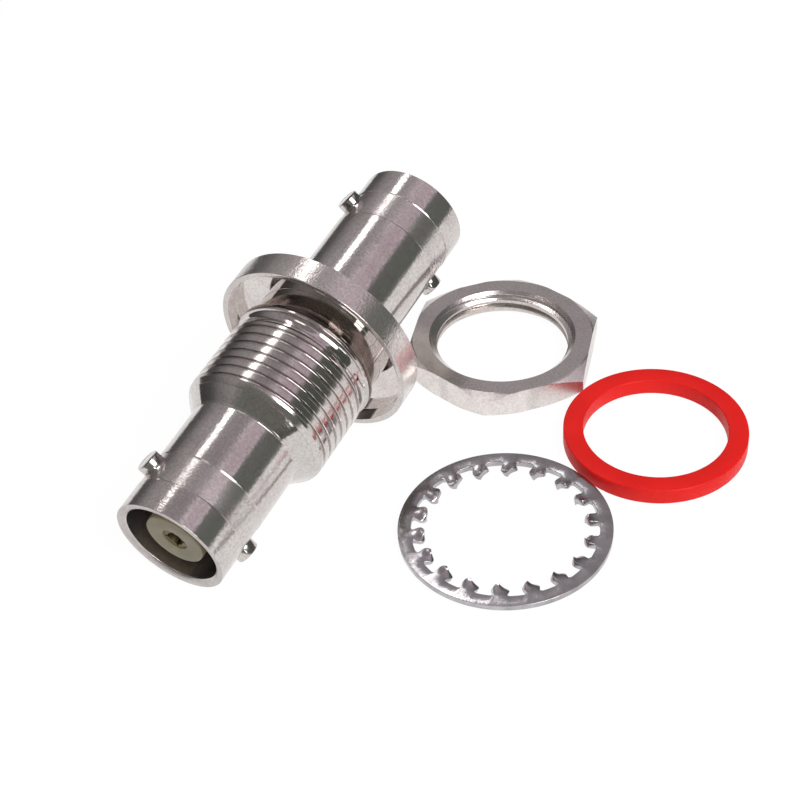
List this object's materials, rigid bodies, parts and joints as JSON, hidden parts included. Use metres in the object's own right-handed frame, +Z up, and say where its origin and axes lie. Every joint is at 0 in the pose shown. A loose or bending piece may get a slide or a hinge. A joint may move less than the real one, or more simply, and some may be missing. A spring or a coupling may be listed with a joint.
{
  "type": "bnc connector",
  "caption": "Coaxial panel adapter with a bayonet jack at each end, a recessed flange and a threaded shank, with its hex nut, toothed washer and red sealing ring.",
  "frame": {"origin": "on the surface that everything lies on, under the middle of the bounding box", "axes": "+X along the adapter towards its front mouth, which points slightly down; +Y towards the loose hardware; +Z up"},
  "size_m": [0.0466, 0.0428, 0.0176],
  "materials": {
    "nickel_plate": "bright nickel plate on turned brass",
    "insulator": "off-white fluoropolymer, matt",
    "gold_contact": "gold flash on brass",
    "washer_steel": "dull plated spring steel",
    "red_silicone": "satin red silicone"
  },
  "bodies": {
    "root": {"front_shell": "nickel_plate", "rear_barrel": "nickel_plate", "front_insulator": "insulator", "rear_insulator": "insulator", "centre_contact": "gold_contact", "hex_nut": "nickel_plate", "lock_washer": "washer_steel", "gasket": "red_silicone"}
  },
  "joints": []
}
